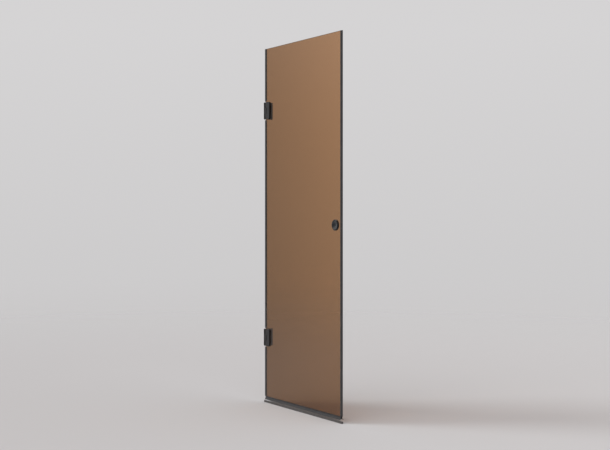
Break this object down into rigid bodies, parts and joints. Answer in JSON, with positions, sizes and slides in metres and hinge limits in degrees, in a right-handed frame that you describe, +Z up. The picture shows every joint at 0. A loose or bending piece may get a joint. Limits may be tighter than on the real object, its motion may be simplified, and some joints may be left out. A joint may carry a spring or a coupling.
{
  "type": "frameless hinged glass shower door",
  "caption": "Frameless bronze-tinted glass shower door on matt black glass-to-wall hinges, with a round finger pull, edge seals and a low sill.",
  "frame": {"origin": "middle of the lower hinge on the wall face of its flange, 367 mm above the floor", "axes": "+X along the door away from the hinge wall, +Y into the shower, +Z up"},
  "size_m": [0.8, 0.06, 2],
  "materials": {
    "bronze_glass": "clear, smooth, bronze tint",
    "matt_black": "matt black powder coat",
    "pull_black": "satin black powder coat",
    "sill_metal": "satin dark grey-brown anodised look",
    "pin_steel": "turned stainless steel",
    "screw_steel": "blackened steel",
    "black_plastic": "smooth black nylon",
    "black_rubber": "black gasket rubber",
    "edge_seal": "soft satin black vinyl",
    "drip_seal": "soft satin black vinyl"
  },
  "bodies": {
    "wall_side": {"sill": "sill_metal", "upper_hinge_bracket": "matt_black", "upper_hinge_pin": "pin_steel", "upper_hinge_washers": "black_plastic", "lower_hinge_bracket": "matt_black", "lower_hinge_pin": "pin_steel", "lower_hinge_washers": "black_plastic"},
    "leaf": {"glass_pane": "bronze_glass", "upper_hinge_front_plate": "matt_black", "upper_hinge_back_plate": "matt_black", "upper_hinge_front_gasket": "black_rubber", "upper_hinge_back_gasket": "black_rubber", "upper_hinge_screws": "screw_steel", "lower_hinge_front_plate": "matt_black", "lower_hinge_back_plate": "matt_black", "lower_hinge_front_gasket": "black_rubber", "lower_hinge_back_gasket": "black_rubber", "lower_hinge_screws": "screw_steel", "hinge_seal_top": "edge_seal", "hinge_seal_middle": "edge_seal", "hinge_seal_bottom": "edge_seal", "strike_seal": "edge_seal", "bottom_seal": "drip_seal", "pull_front_shell": "pull_black", "pull_back_shell": "pull_black", "pull_front_gasket": "black_rubber", "pull_back_gasket": "black_rubber", "pull_screw": "screw_steel"}
  },
  "joints": [
    {"name": "leaf_swing", "type": "hinge", "parent": "wall_side", "child": "leaf", "pos_m": [0.02, 0, 0], "axis": [0, 0, -1], "range_deg": [0, 90]}
  ]
}
